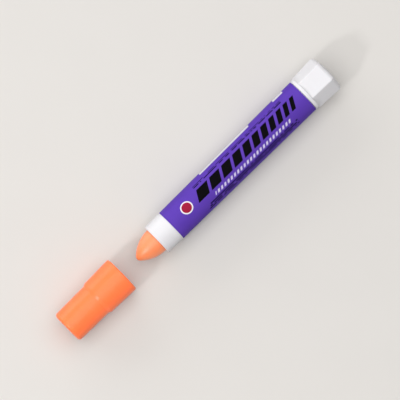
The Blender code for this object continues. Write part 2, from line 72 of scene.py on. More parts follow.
barrel_low, barrel_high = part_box("barrel")
mouth = barrel_low.x
barrel_rear = barrel_high.x
axis_height = (barrel_low.z + barrel_high.z) / 2


def barrel_radius(x):
    """Outer radius of the tapered barrel at a place along the marker."""
    return COLLAR_RADIUS + BARREL_FLARE * (x - mouth) / (barrel_rear - mouth)


def rounded(corners, steps=6):
    """Points of an outline from its corners (x, radius, rounding), with each rounding as an arc."""
    points = []
    for i, (x, radius, rounding) in enumerate(corners):
        here = Vector((x, radius))
        if not rounding:
            points.append(here)
            continue
        back = (Vector(corners[i - 1][:2]) - here).normalized()
        ahead = (Vector(corners[(i + 1) % len(corners)][:2]) - here).normalized()
        half = back.angle(ahead) / 2
        centre = here + (back + ahead).normalized() * rounding / math.sin(half)
        start = here + back * rounding / math.tan(half) - centre
        end = here + ahead * rounding / math.tan(half) - centre
        sweep = start.angle_signed(end)
        points += [centre + Matrix.Rotation(-sweep * k / steps, 2) @ start for k in range(steps + 1)]
    return points


def smooth_piece(name, bm, body):
    """Turns a bmesh into a smooth-shaded piece with crisp edges that rides on a body."""
    bmesh.ops.recalc_face_normals(bm, faces=bm.faces)
    mesh = bpy.data.meshes.new(name)
    bm.to_mesh(mesh)
    bm.free()
    mesh.shade_smooth()
    mesh.set_sharp_from_angle(angle=CRISP_ANGLE)
    piece = bpy.data.objects.new(name, mesh)
    bpy.context.scene.collection.objects.link(piece)
    even = piece.modifiers.new("flat faces stay flat", "WEIGHTED_NORMAL")
    even.keep_sharp = True
    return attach(piece, body)


def turned(name, outline, body, on_axis=False):
    """Spins an outline of (x, radius) points about the marker's axis."""
    bm = bmesh.new()
    verts = [bm.verts.new((x, 0, axis_height + radius)) for x, radius in outline]
    edges = [bm.edges.new(pair) for pair in zip(verts, verts[1:])]
    if not on_axis:
        edges.append(bm.edges.new((verts[-1], verts[0])))
    bmesh.ops.spin(
        bm,
        geom=verts + edges,
        cent=(0, 0, axis_height),
        axis=(1, 0, 0),
        angle=2 * math.pi,
        steps=ROUND_STEPS,
        use_merge=True,
    )
    bmesh.ops.remove_doubles(bm, verts=bm.verts, dist=MERGE_DISTANCE)
    return smooth_piece(name, bm, body)


def linear(colour):
    """An sRGB hex colour as linear red, green, blue and alpha."""
    channels = [int(colour[i : i + 2], 16) / 255 for i in (1, 3, 5)]
    return [c / 12.92 if c <= 0.04045 else ((c + 0.055) / 1.055) ** 2.4 for c in channels] + [1.0]


def add(tree, kind, inputs=None, **settings):
    """Adds a shader node with its settings, and sets or links its inputs."""
    made = tree.nodes.new(kind)
    for key, value in settings.items():
        setattr(made, key, value)
    for key, value in (inputs or {}).items():
        if isinstance(value, bpy.types.NodeSocket):
            tree.links.new(value, made.inputs[key])
        else:
            made.inputs[key].default_value = value
    return made


def finish(name, **sockets):
    """A new material, its node tree and its shader, with the constant sockets set."""
    material = bpy.data.materials.new(name)
    material.use_nodes = True
    shader = material.node_tree.nodes["Principled BSDF"]
    for key, value in sockets.items():
        shader.inputs[key.replace("_", " ").title().replace("Ior", "IOR")].default_value = value
    return material, material.node_tree, shader


def moulded_plastic(name, colour, cloudy, roughness, depth, radius):
    """Injection-moulded polyolefin: a satin skin with a fine grain, soft clouding and long scuffs."""
    material, tree, shader = finish(
        name, ior=1.49, subsurface_weight=depth, subsurface_radius=radius, subsurface_scale=1.0
    )
    place = add(tree, "ShaderNodeTexCoord").outputs["Object"]
    clouds = add(tree, "ShaderNodeTexNoise", {"Vector": place, "Scale": 1 / (7 * MM), "Detail": 3.0})
    shades = {"Factor": clouds.outputs["Fac"], "A": colour, "B": cloudy}
    mixed = add(tree, "ShaderNodeMix", shades, data_type="RGBA")
    tree.links.new(mixed.outputs["Result"], shader.inputs["Base Color"])

    # Scuffs run along the axis, ten times as long as wide, as a sliding cap or a pocket leaves them.
    along = add(tree, "ShaderNodeMapping", {"Vector": place, "Scale": (0.1, 1.0, 1.0)}).outputs[0]
    scuffs = add(tree, "ShaderNodeTexNoise", {"Vector": along, "Scale": 1 / (0.5 * MM), "Detail": 4.0})
    shine = add(
        tree,
        "ShaderNodeMapRange",
        {
            "Value": scuffs.outputs["Fac"],
            "From Min": 0.3,
            "From Max": 0.75,
            "To Min": roughness - 0.05,
            "To Max": roughness + 0.1,
        },
    )
    tree.links.new(shine.outputs[0], shader.inputs["Roughness"])

    # The mould's grain is about 0.1 mm, drawn at 0.25 mm so that it shows, over the slow waves of shrinkage.
    grain = add(tree, "ShaderNodeTexNoise", {"Vector": place, "Scale": 1 / (0.25 * MM), "Detail": 2.0})
    skin = add(
        tree,
        "ShaderNodeBump",
        {"Height": grain.outputs["Fac"], "Strength": 0.4, "Distance": 0.015 * MM},
    )
    waves = add(tree, "ShaderNodeTexNoise", {"Vector": place, "Scale": 1 / (5 * MM), "Detail": 1.0})
    sunk = add(
        tree,
        "ShaderNodeBump",
        {"Height": waves.outputs["Fac"], "Strength": 0.4, "Distance": 0.06 * MM, "Normal": skin.outputs[0]},
    )
    tree.links.new(sunk.outputs[0], shader.inputs["Normal"])
    return material


# White polypropylene from a polished mould: a soft bright white, slightly translucent, with a broad shine.
white_polypropylene = moulded_plastic(
    "white polypropylene, moulded satin",
    linear("#F3F2F5"),
    linear("#EEEDF2"),
    roughness=0.4,
    depth=0.3,
    radius=(1.2 * MM, 1.1 * MM, 1.1 * MM),
)

seat_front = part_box("label")[0].x - LABEL_END_GAP
plug_stop = barrel_rear - PLUG_DEPTH
snap_middle = (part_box("rear_bush")[0].x + barrel_rear) / 2
barrel = turned(
    "barrel_tube",
    rounded([
        (mouth, BORE_RADIUS, MOUTH_BREAK),
        (mouth, COLLAR_RADIUS, MOUTH_ROUND),
        (seat_front, barrel_radius(seat_front), LABEL_SEAT_ROUND),
        (seat_front, barrel_radius(seat_front) - LABEL_SEAT, 0),
        (barrel_rear, barrel_radius(barrel_rear) - LABEL_SEAT, 0),
        (barrel_rear, PLUG_BORE_RADIUS, 0),
        (snap_middle + SNAP_BEAD_RAMP, PLUG_BORE_RADIUS, 0),
        (snap_middle, PLUG_BORE_RADIUS + SNAP_BEAD, SNAP_BEAD_ROUND),
        (snap_middle - SNAP_BEAD_RAMP, PLUG_BORE_RADIUS, 0),
        (plug_stop, PLUG_BORE_RADIUS, 0),
        (plug_stop, BORE_RADIUS, 0),
    ]),
    "barrel",
)

# The grooves open into the plug's seat, so that the carrier's keys slide in from the rear. The bars that cut
# them run on past the wall, and the cut comes before the normals are evened.
groove_front = seat_front + GROOVE_STOP
groove_rear = plug_stop + GROOVE_OVERRUN
groove_foot = BORE_RADIUS - GROOVE_OVERRUN
bm = bmesh.new()
for k in range(GROOVE_COUNT):
    bar = bmesh.ops.create_cube(bm, size=1.0)["verts"]
    size = Matrix.Diagonal((groove_rear - groove_front, GROOVE_WIDTH, GROOVE_RADIUS - groove_foot, 1))
    place = Matrix.Translation(((groove_front + groove_rear) / 2, 0, (GROOVE_RADIUS + groove_foot) / 2))
    turn = Matrix.Rotation(2 * math.pi * (k + 0.5) / GROOVE_COUNT, 4, "X")
    bmesh.ops.transform(bm, verts=bar, matrix=Matrix.Translation((0, 0, axis_height)) @ turn @ place @ size)
groove_mesh = bpy.data.meshes.new("groove_cutter")
bm.to_mesh(groove_mesh)
bm.free()
groove_cutter = bpy.data.objects.new("groove_cutter", groove_mesh)
groove_cutter.hide_render = True
groove_cutter.display_type = "WIRE"
bpy.context.scene.collection.objects.link(groove_cutter)
grooves = barrel.modifiers.new("guide grooves", "BOOLEAN")
grooves.object = groove_cutter
barrel.modifiers.move(1, 0)
barrel.data.materials.append(white_polypropylene)
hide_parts("barrel")


# Feed screw, carrier and seal ring: the drive inside the barrel, moulded in natural polyethylene, with a
# rubber ring on the screw's journal. They keep their own solids and show only when the marker is opened.
# Natural polyethylene has no pigment: a waxy, milky skin that lets light a little way in.
natural_polyethylene = moulded_plastic(
    "natural polyethylene, moulded",
    linear("#E6E4DC"),
    linear("#DEDBD0"),
    roughness=0.42,
    depth=0.3,
    radius=(1.6 * MM, 1.5 * MM, 1.3 * MM),
)

# Nitrile rubber, moulded and dusted with talc: near black, matt, with a faint bloom.
nitrile_rubber, tree, shader = finish("nitrile rubber, moulded", ior=1.52)
place = add(tree, "ShaderNodeTexCoord").outputs["Object"]
bloom = add(tree, "ShaderNodeTexNoise", {"Vector": place, "Scale": 1 / (0.8 * MM), "Detail": 4.0})
shades = {"Factor": bloom.outputs["Fac"], "A": linear("#1B1B1C"), "B": linear("#2B2A2A")}
dusted = add(tree, "ShaderNodeMix", shades, data_type="RGBA")
tree.links.new(dusted.outputs["Result"], shader.inputs["Base Color"])
matt = add(tree, "ShaderNodeMapRange", {"Value": bloom.outputs["Fac"], "To Min": 0.55, "To Max": 0.75})
tree.links.new(matt.outputs[0], shader.inputs["Roughness"])

for node, material in (
    ("feed_screw", natural_polyethylene),
    ("carrier", natural_polyethylene),
    ("seal_ring", nitrile_rubber),
):
    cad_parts[node].data.materials.clear()
    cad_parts[node].data.materials.append(material)


# Paint stick: wax, resin and a bright orange pigment, cast as one stick with a bullet nose.
# It stands out of the mouth and is fed forward by the screw in its bore.
PAINT_RADIUS = 6.1 * MM
TIP_ROUND = 2.0 * MM
TIP_STEPS = 12
NOSE_STEPS = 32
SEAT_GAP = 0.15 * MM
SPIGOT_RADIUS = 5.0 * MM
PAINT_BORE_RADIUS = 3.15 * MM
PAINT_BORE_END = 3.35 * MM
PAINT_GLOW = 1.25
COOLING_RING_SPACING = 6.9 * MM
WAVE_RADIANS = 20

paint_low, paint_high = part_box("paint_stick")
tip = paint_low.x
paint_rear = paint_high.x
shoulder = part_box("carrier")[0].x - SEAT_GAP

# The nose is a tangent ogive, whose arc ends in a small ball at the tip.
reach = mouth - tip - TIP_ROUND
ogive = (reach**2 - TIP_ROUND**2 + PAINT_RADIUS**2) / (2 * (PAINT_RADIUS - TIP_ROUND))
meeting = math.acos(reach / (ogive - TIP_ROUND))
nose = []
for k in range(TIP_STEPS):
    turn = meeting * k / TIP_STEPS
    nose.append((mouth - reach - TIP_ROUND * math.cos(turn), TIP_ROUND * math.sin(turn)))
for k in range(NOSE_STEPS + 1):
    turn = meeting + (math.pi / 2 - meeting) * k / NOSE_STEPS
    nose.append((mouth - ogive * math.cos(turn), PAINT_RADIUS - ogive + ogive * math.sin(turn)))
paint_stick = turned(
    "paint_stick_cast",
    nose + [
        (shoulder, PAINT_RADIUS),
        (shoulder, SPIGOT_RADIUS),
        (paint_rear, SPIGOT_RADIUS),
        (paint_rear, PAINT_BORE_RADIUS),
        (mouth + PAINT_BORE_END, PAINT_BORE_RADIUS),
        (mouth + PAINT_BORE_END, 0),
    ],
    "paint",
    on_axis=True,
)


def day_glow(colour, gain):
    """A fluorescent colour, which turns blue light to orange and so gives back more red than falls on it."""
    red, green, blue, alpha = linear(colour)
    return [red * gain, green, blue, alpha]


# Solid paint, cast: a dense waxy orange with a soft sheen, tiny pits, and faint rings where it cooled.
# The wave texture that draws the rings goes through 20 radians in each unit of length.
solid_paint, tree, shader = finish(
    "solid wax paint, cast",
    ior=1.45,
    specular_ior_level=1.0,
    coat_weight=1.0,
    coat_roughness=0.4,
    subsurface_weight=0.2,
    subsurface_radius=(2.0 * MM, 0.6 * MM, 0.3 * MM),
    subsurface_scale=1.0,
)
place = add(tree, "ShaderNodeTexCoord").outputs["Object"]
pigment = add(tree, "ShaderNodeTexNoise", {"Vector": place, "Scale": 1 / (2.5 * MM), "Detail": 5.0})
shades = {
    "Factor": pigment.outputs["Fac"],
    "A": day_glow("#FF9C5C", PAINT_GLOW),
    "B": day_glow("#FF9655", PAINT_GLOW),
}
mixed = add(tree, "ShaderNodeMix", shades, data_type="RGBA")
tree.links.new(mixed.outputs["Result"], shader.inputs["Base Color"])
sheen = add(tree, "ShaderNodeMapRange", {"Value": pigment.outputs["Fac"], "To Min": 0.4, "To Max": 0.58})
tree.links.new(sheen.outputs[0], shader.inputs["Roughness"])
pits = add(tree, "ShaderNodeTexVoronoi", {"Vector": place, "Scale": 1 / (0.7 * MM), "Randomness": 1.0})
pitted = add(tree, "ShaderNodeMapRange", {"Value": pits.outputs["Distance"], "From Max": 0.22})
hollows = add(
    tree, "ShaderNodeBump", {"Height": pitted.outputs[0], "Strength": 0.35, "Distance": 0.03 * MM}
)
ring_scale = 2 * math.pi / (WAVE_RADIANS * COOLING_RING_SPACING)
rings = add(
    tree,
    "ShaderNodeTexWave",
    {"Vector": place, "Scale": ring_scale, "Distortion": 1.5, "Detail": 2.0},
    bands_direction="X",
)
cooled = add(
    tree,
    "ShaderNodeBump",
    {"Height": rings.outputs["Fac"], "Strength": 0.3, "Distance": 0.02 * MM, "Normal": hollows.outputs[0]},
)
tree.links.new(cooled.outputs[0], shader.inputs["Normal"])
paint_stick.data.materials.append(solid_paint)
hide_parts("paint_stick")


# Rear bush: the white plug snapped into the barrel's rear, polypropylene again. Its flange is the narrow band
# between the label and the knob, flared to meet the knob's edge, and its neck runs inside the knob.
FLANGE_FRONT_RADIUS = 8.5 * MM
FLANGE_REAR_RADIUS = 8.65 * MM
FLANGE_LENGTH = 1.65 * MM
FLANGE_FRONT_ROUND = 0.25 * MM
FLANGE_REAR_ROUND = 0.08 * MM
PLUG_RADIUS = 6.95 * MM
NECK_RADIUS = 6.15 * MM
NECK_BORE_RADIUS = 4.35 * MM
JOURNAL_HOLE_RADIUS = 2.55 * MM
WEB_LENGTH = 3.0 * MM
SEAL_POCKET_RADIUS = 4.0 * MM
SEAL_POCKET_DEPTH = 1.4 * MM
BUSH_END_ROUND = 0.2 * MM

bush_low, bush_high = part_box("rear_bush")
flange_front = barrel_rear + SEAT_GAP
flange_rear = flange_front + FLANGE_LENGTH
web_rear = bush_low.x + WEB_LENGTH
pocket_floor = bush_low.x + SEAL_POCKET_DEPTH
rear_bush = turned(
    "rear_bush_plug",
    rounded([
        (bush_low.x, SEAL_POCKET_RADIUS, 0),
        (bush_low.x, PLUG_RADIUS, BUSH_END_ROUND),
        (snap_middle - SNAP_BEAD_RAMP, PLUG_RADIUS, 0),
        (snap_middle, PLUG_RADIUS + SNAP_BEAD, SNAP_BEAD_ROUND),
        (snap_middle + SNAP_BEAD_RAMP, PLUG_RADIUS, 0),
        (flange_front, PLUG_RADIUS, 0),
        (flange_front, FLANGE_FRONT_RADIUS, FLANGE_FRONT_ROUND),
        (flange_rear, FLANGE_REAR_RADIUS, FLANGE_REAR_ROUND),
        (flange_rear, NECK_RADIUS, 0),
        (bush_high.x, NECK_RADIUS, BUSH_END_ROUND),
        (bush_high.x, NECK_BORE_RADIUS, BUSH_END_ROUND),
        (web_rear, NECK_BORE_RADIUS, 0),
        (web_rear, JOURNAL_HOLE_RADIUS, 0),
        (pocket_floor, JOURNAL_HOLE_RADIUS, 0),
        (pocket_floor, SEAL_POCKET_RADIUS, 0),
    ]),
    "barrel",
)
rear_bush.data.materials.append(white_polypropylene)
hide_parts("rear_bush")


# Knob: the white hexagonal grip at the rear that turns the screw, one polypropylene moulding that flares to a
# domed end. It runs on the bush's neck and is pressed onto the screw's six-sided stem.
KNOB_FRONT_APOTHEM = 7.75 * MM
KNOB_FLARE = 0.55 * MM
KNOB_CORNER_ROUND = 0.6 * MM
KNOB_CORNER_STEPS = 8
KNOB_FRONT_GAP = 0.06 * MM
KNOB_FRONT_ROUND = 0.12 * MM
KNOB_FRONT_STEPS = 6
KNOB_END_ROUND = 2.0 * MM
KNOB_END_STEPS = 12
KNOB_DOME = 0.65 * MM
KNOB_DOME_STEPS = 12
KNOB_BORE_RADIUS = 6.45 * MM
KNOB_BORE_DEPTH = 11.65 * MM
BOSS_RADIUS = 4.05 * MM
SOCKET_APOTHEM = 2.05 * MM
SOCKET_CORNER_ROUND = 0.15 * MM
SOCKET_DEPTH = 2.3 * MM
GATE_RADIUS = 0.9 * MM
GATE_DEPTH = 0.2 * MM
GATE_EDGE = 0.06 * MM

knob_low, knob_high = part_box("knob")
knob_front = flange_rear + KNOB_FRONT_GAP
knob_length = knob_high.x - knob_front


def hexagon(x, apothem, corner_round):
    """A ring of points with six flats, two of them level, and rounded corners."""
    corner = (apothem - corner_round) / math.cos(math.pi / 6)
    points = []
    for side in range(6):
        middle = math.radians(60 * side)
        for k in range(KNOB_CORNER_STEPS + 1):
            turn = middle + math.radians(60 * k / KNOB_CORNER_STEPS - 30)
            points.append(Vector((
                x,
                corner * math.cos(middle) + corner_round * math.cos(turn),
                axis_height + corner * math.sin(middle) + corner_round * math.sin(turn),
            )))
    return points


def circle(x, radius):
    """A round ring with as many points as the hexagon's, in the same order."""
    count = 6 * (KNOB_CORNER_STEPS + 1)
    points = []
    for k in range(count):
        turn = 2 * math.pi * (k + 0.5) / count - math.pi / 6
        points.append(Vector((x, radius * math.cos(turn), axis_height + radius * math.sin(turn))))
    return points


def knob_apothem(x):
    """Half the distance across the knob's flats at a place along the marker."""
    return KNOB_FRONT_APOTHEM + KNOB_FLARE * (x - knob_front) / knob_length


knob_rings = []
for k in range(KNOB_FRONT_STEPS + 1):
    turn = math.pi / 2 * k / KNOB_FRONT_STEPS
    x = knob_front + KNOB_FRONT_ROUND * (1 - math.sin(turn))
    inset = KNOB_FRONT_ROUND * (1 - math.cos(turn))
    knob_rings.append(hexagon(x, knob_apothem(x) - inset, KNOB_CORNER_ROUND))
knob_rings.reverse()

# The rounding of the end runs on into the dome, whose rings turn from six-sided to round.
side_apothem = knob_apothem(knob_high.x - KNOB_DOME - KNOB_END_ROUND)
dome_lean = math.atan(2 * KNOB_DOME / (side_apothem - KNOB_END_ROUND))
rounding_start = knob_high.x - KNOB_DOME - KNOB_END_ROUND * math.cos(dome_lean)
for k in range(KNOB_END_STEPS + 1):
    turn = (math.pi / 2 - dome_lean) * k / KNOB_END_STEPS
    x = rounding_start + KNOB_END_ROUND * math.sin(turn)
    inset = KNOB_END_ROUND * (1 - math.cos(turn))
    knob_rings.append(hexagon(x, side_apothem - inset, KNOB_CORNER_ROUND))
dome_apothem = side_apothem - KNOB_END_ROUND * (1 - math.sin(dome_lean))
for k in range(1, KNOB_DOME_STEPS - 1):
    share = 1 - k / KNOB_DOME_STEPS
    x = knob_high.x - KNOB_DOME * share**2
    six_sided = hexagon(x, dome_apothem * share, KNOB_CORNER_ROUND * share)
    round_ring = circle(x, dome_apothem * share)
    knob_rings.append([a.lerp(b, 1 - share) for a, b in zip(six_sided, round_ring)])

# The mould's gate leaves a small round dimple in the middle of the end.
knob_rings.append(circle(knob_high.x, GATE_RADIUS + GATE_EDGE))
knob_rings.append(circle(knob_high.x - GATE_EDGE, GATE_RADIUS))
knob_rings.append(circle(knob_high.x - GATE_DEPTH, GATE_RADIUS - GATE_EDGE))

bore_end = knob_front + KNOB_BORE_DEPTH
knob_bore = [
    hexagon(knob_front + SOCKET_DEPTH, SOCKET_APOTHEM, SOCKET_CORNER_ROUND),
    hexagon(knob_low.x, SOCKET_APOTHEM, SOCKET_CORNER_ROUND),
    circle(knob_low.x, BOSS_RADIUS),
    circle(bore_end, BOSS_RADIUS),
    circle(bore_end, KNOB_BORE_RADIUS),
    circle(knob_front, KNOB_BORE_RADIUS),
]
bm = bmesh.new()
loops = [[bm.verts.new(point) for point in ring] for ring in knob_bore + knob_rings]
for near, far in zip(loops, loops[1:]):
    for i in range(len(near)):
        bm.faces.new((near[i - 1], near[i], far[i], far[i - 1]))
bm.faces.new(loops[0])
bm.faces.new(loops[-1])
knob = smooth_piece("knob_hexagonal", bm, "knob")
knob.data.materials.append(white_polypropylene)
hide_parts("knob")


# Label: a violet printed polypropylene film, wrapped once round the barrel and glued, with its ends meeting
# in a narrow seam underneath. The print is slanted bars and ticks, fine rules, a spot and ruled panels.
LABEL_FILM = 0.15 * MM
LABEL_SEAM = 0.4 * MM
AROUND_STEPS = 200

label_low, label_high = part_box("label")
label_front = label_low.x
label_rear = label_high.x
label_length = label_rear - label_front
seam_turn = LABEL_SEAM / COLLAR_RADIUS
bm = bmesh.new()
flat = bm.loops.layers.uv.new("flat_label")
film = []
for k in range(AROUND_STEPS + 1):
    turn = (2 * math.pi - seam_turn) * (k / AROUND_STEPS - 0.5)
    strip = []
    for x, inside in ((label_front, False), (label_rear, False), (label_rear, True), (label_front, True)):
        radius = barrel_radius(x) - (LABEL_FILM if inside else 0)
        strip.append(bm.verts.new((x, radius * math.sin(turn), axis_height + radius * math.cos(turn))))
    film.append((turn, strip))
for (turn, strip), (next_turn, next_strip) in zip(film, film[1:]):
    for i in range(4):
        face = bm.faces.new((strip[i], strip[i - 1], next_strip[i - 1], next_strip[i]))
        face.material_index = 0 if i == 1 else 1  # print on the outside only
        for loop, angle in zip(face.loops, (turn, turn, next_turn, next_turn)):
            loop[flat].uv = ((loop.vert.co.x - label_front) / label_length, 0.5 + angle / (2 * math.pi))
for turn, strip in (film[0], film[-1]):
    bm.faces.new(strip).material_index = 1
label = smooth_piece("label_film", bm, "barrel")

# Printed film under a satin varnish: a deep violet with a soft shine, and print that sits level with it.
printed_film, tree, shader = finish("violet printed film, varnished", ior=1.5, specular_ior_level=0.05)
flat_place = add(tree, "ShaderNodeUVMap", uv_map="flat_label").outputs[0]
parts = add(tree, "ShaderNodeSeparateXYZ", {"Vector": flat_place})
along = add(
    tree, "ShaderNodeMath", {0: parts.outputs["X"], 1: label_length / MM}, operation="MULTIPLY"
).outputs[0]
around = add(
    tree, "ShaderNodeMapRange", {"Value": parts.outputs["Y"], "To Min": -180, "To Max": 180}, clamp=False
).outputs[0]


def printed(under, ink, *limits):
    """The film's colour with an ink laid over it, where each value given lies between its two limits."""
    inside = None
    for value, low, high in limits:
        compared = {0: value, 1: (low + high) / 2, 2: (high - low) / 2}
        mask = add(tree, "ShaderNodeMath", compared, operation="COMPARE").outputs[0]
        if inside is not None:
            mask = add(tree, "ShaderNodeMath", {0: inside, 1: mask}, operation="MULTIPLY").outputs[0]
        inside = mask
    shades = {"Factor": inside, "A": under, "B": linear(ink)}
    return add(tree, "ShaderNodeMix", shades, data_type="RGBA").outputs["Result"]


# Millimetres from the label's front edge, and degrees round the barrel from the top, towards +Y.
# The slant is in millimetres for each degree.
PRINT_SLANT = 0.08
BAR_INK = "#050308"
BAR_ROW = (-17, 20)
BAR_COUNT = 11
BAR_START = 17
BAR_WIDEST = 6.6
BAR_SHRINK = 0.9
BAR_GAP = 1.5
TICK_INK = "#DDD5F2"
TICK_ROW = (-38.5, -27.5)
TICK_SPAN = (26.5, 73)
TICK_PITCH = 2.0
TICK_WIDTH = 1.1
FINE_INK = "#120A38"
FINE_ROWS = ((30.5, 34.5), (37, 39.5), (-50.5, -45.5), (-58.5, -53), (-66.5, -61))
FINE_SPAN = (17.6, 73)
FINE_CELL = 0.8
FINE_DROPPED = 0.2
PANEL_INK = "#F1EFF4"
PANEL_ROW = (59, 104)
PANEL_SPANS = ((24.8, 55.5), (70.8, 76.8))
RULE_INK = "#8E7CC8"
RULE_ROWS = ((69.2, 70.8), (79.2, 80.8), (89.2, 90.8))
SPOT_INK = "#A8213F"
SPOT_PLACE = (10.2, 1)
SPOT_RADIUS = 2.4
RING_INK = "#F4F1F8"
RING_RADIUS = 3.0

place = add(tree, "ShaderNodeTexCoord").outputs["Object"]
clouds = add(tree, "ShaderNodeTexNoise", {"Vector": place, "Scale": 1 / (6 * MM), "Detail": 3.0})
shades = {"Factor": clouds.outputs["Fac"], "A": linear("#6746BC"), "B": linear("#5E3EB4")}
colour = add(tree, "ShaderNodeMix", shades, data_type="RGBA").outputs["Result"]

# Black bars, each narrower than the one before it, stand over a row of pale ticks with the same slant.
slanted = {0: around, 1: -PRINT_SLANT, 2: along}
sheared = add(tree, "ShaderNodeMath", slanted, operation="MULTIPLY_ADD").outputs[0]
bar_start = BAR_START
bar_width = BAR_WIDEST
for k in range(BAR_COUNT):
    colour = printed(colour, BAR_INK, (sheared, bar_start, bar_start + bar_width), (around, *BAR_ROW))
    bar_start += bar_width + BAR_GAP
    bar_width *= BAR_SHRINK
in_pitch = add(tree, "ShaderNodeMath", {0: sheared, 1: TICK_PITCH}, operation="MODULO").outputs[0]
colour = printed(colour, TICK_INK, (in_pitch, 0, TICK_WIDTH), (sheared, *TICK_SPAN), (around, *TICK_ROW))

# Fine dark rules are broken into dashes of many lengths by dropping a share of their cells.
cell = add(tree, "ShaderNodeMath", {0: along, 1: FINE_CELL}, operation="SNAP").outputs[0]
for row in FINE_ROWS:
    shifted = add(tree, "ShaderNodeMath", {0: cell, 1: row[0]}, operation="ADD").outputs[0]
    chance = add(tree, "ShaderNodeTexWhiteNoise", {"W": shifted}, noise_dimensions="1D").outputs["Value"]
    colour = printed(colour, FINE_INK, (chance, FINE_DROPPED, 1), (along, *FINE_SPAN), (around, *row))

for span in PANEL_SPANS:
    colour = printed(colour, PANEL_INK, (along, *span), (around, *PANEL_ROW))
    for row in RULE_ROWS:
        colour = printed(colour, RULE_INK, (along, *span), (around, *row))

# The spot and its ring are round on the film, so their place is in millimetres both ways.
mm_per_degree = barrel_radius((label_front + label_rear) / 2) / MM * math.radians(1)
across_film = add(tree, "ShaderNodeMath", {0: around, 1: mm_per_degree}, operation="MULTIPLY").outputs[0]
on_film = add(tree, "ShaderNodeCombineXYZ", {"X": along, "Y": across_film}).outputs[0]
middle = (SPOT_PLACE[0], SPOT_PLACE[1] * mm_per_degree, 0)
from_spot = add(tree, "ShaderNodeVectorMath", {0: on_film, 1: middle}, operation="DISTANCE").outputs["Value"]
colour = printed(colour, RING_INK, (from_spot, 0, RING_RADIUS))
colour = printed(colour, SPOT_INK, (from_spot, 0, SPOT_RADIUS))
tree.links.new(colour, shader.inputs["Base Color"])

varnish = add(tree, "ShaderNodeTexNoise", {"Vector": place, "Scale": 1 / (3 * MM), "Detail": 4.0})
gloss = add(tree, "ShaderNodeMapRange", {"Value": varnish.outputs["Fac"], "To Min": 0.44, "To Max": 0.56})
tree.links.new(gloss.outputs[0], shader.inputs["Roughness"])
peel = add(tree, "ShaderNodeBump", {"Height": varnish.outputs["Fac"], "Strength": 0.3, "Distance": 0.03 * MM})
tree.links.new(peel.outputs[0], shader.inputs["Normal"])

# The cut edge and the back of the film are unprinted white.
film_edge, tree, shader = finish("white film, cut edge", ior=1.5)
place = add(tree, "ShaderNodeTexCoord").outputs["Object"]
fibres = add(tree, "ShaderNodeTexNoise", {"Vector": place, "Scale": 1 / (0.3 * MM), "Detail": 2.0})
shades = {"Factor": fibres.outputs["Fac"], "A": linear("#D9D3E6"), "B": linear("#B9AFD6")}
cut = add(tree, "ShaderNodeMix", shades, data_type="RGBA")
tree.links.new(cut.outputs["Result"], shader.inputs["Base Color"])

label.data.materials.append(printed_film)
label.data.materials.append(film_edge)
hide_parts("label")


# Cap: an orange polypropylene moulding, a slightly tapered crown with a wider skirt beyond a short sloping
# shoulder. The skirt slides over the barrel's collar, and a low bead inside it grips.
CAP_SKIRT_LENGTH = 15.0 * MM
CAP_SHOULDER_LENGTH = 1.4 * MM
CAP_SHOULDER_ROUND = 0.6 * MM
CAP_SKIRT_RADIUS = 8.71 * MM
CAP_CROWN_RADIUS = 8.05 * MM
CAP_END_RADIUS = 7.9 * MM
CAP_BORE_RADIUS = 8.11 * MM
CAP_CROWN_BORE_RADIUS = 6.95 * MM
CAP_STEP_DEPTH = 14.3 * MM
CAP_END_WALL = 1.2 * MM
CAP_END_ROUND = 1.4 * MM
CAP_GATE_ROUND = 0.05 * MM
CAP_RIM_ROUND = 0.8 * MM
CAP_MOUTH_BREAK = 0.15 * MM
CAP_BEAD = 0.12 * MM
CAP_BEAD_INSET = 2.5 * MM
CAP_BEAD_RAMP = 0.7 * MM
CAP_BEAD_ROUND = 0.4 * MM
CAP_GLOW = 1.6

cap_low, cap_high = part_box("cap")
cap_end = cap_low.x
cap_rim = cap_high.x
cap_rim_radius = (cap_high.z - cap_low.z) / 2
skirt_start = cap_rim - CAP_SKIRT_LENGTH
bore_step = cap_rim - CAP_STEP_DEPTH
bead_middle = cap_rim - CAP_BEAD_INSET
cap = turned(
    "cap_shell",
    rounded([
        (cap_end + GATE_DEPTH, 0, 0),
        (cap_end + GATE_DEPTH, GATE_RADIUS, CAP_GATE_ROUND),
        (cap_end, GATE_RADIUS, CAP_GATE_ROUND),
        (cap_end, CAP_END_RADIUS, CAP_END_ROUND),
        (skirt_start - CAP_SHOULDER_LENGTH, CAP_CROWN_RADIUS, CAP_SHOULDER_ROUND),
        (skirt_start, CAP_SKIRT_RADIUS, CAP_SHOULDER_ROUND),
        (cap_rim, cap_rim_radius, CAP_RIM_ROUND),
        (cap_rim, CAP_BORE_RADIUS, CAP_MOUTH_BREAK),
        (bead_middle + CAP_BEAD_RAMP, CAP_BORE_RADIUS, CAP_BEAD_ROUND),
        (bead_middle, CAP_BORE_RADIUS - CAP_BEAD, CAP_BEAD_ROUND),
        (bead_middle - CAP_BEAD_RAMP, CAP_BORE_RADIUS, CAP_BEAD_ROUND),
        (bore_step, CAP_BORE_RADIUS, 0),
        (bore_step, CAP_CROWN_BORE_RADIUS, 0),
        (cap_end + CAP_END_WALL, CAP_CROWN_BORE_RADIUS, 0),
        (cap_end + CAP_END_WALL, 0, 0),
    ]),
    "cap",
    on_axis=True,
)

# Orange polypropylene, moulded: a saturated orange, a little translucent, with a satin shine like the white.
orange_polypropylene = moulded_plastic(
    "orange polypropylene, moulded satin",
    day_glow("#FF9051", CAP_GLOW),
    day_glow("#FF8B4C", CAP_GLOW),
    roughness=0.32,
    depth=0.2,
    radius=(2.0 * MM, 0.6 * MM, 0.2 * MM),
)
cap.data.materials.append(orange_polypropylene)
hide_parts("cap")


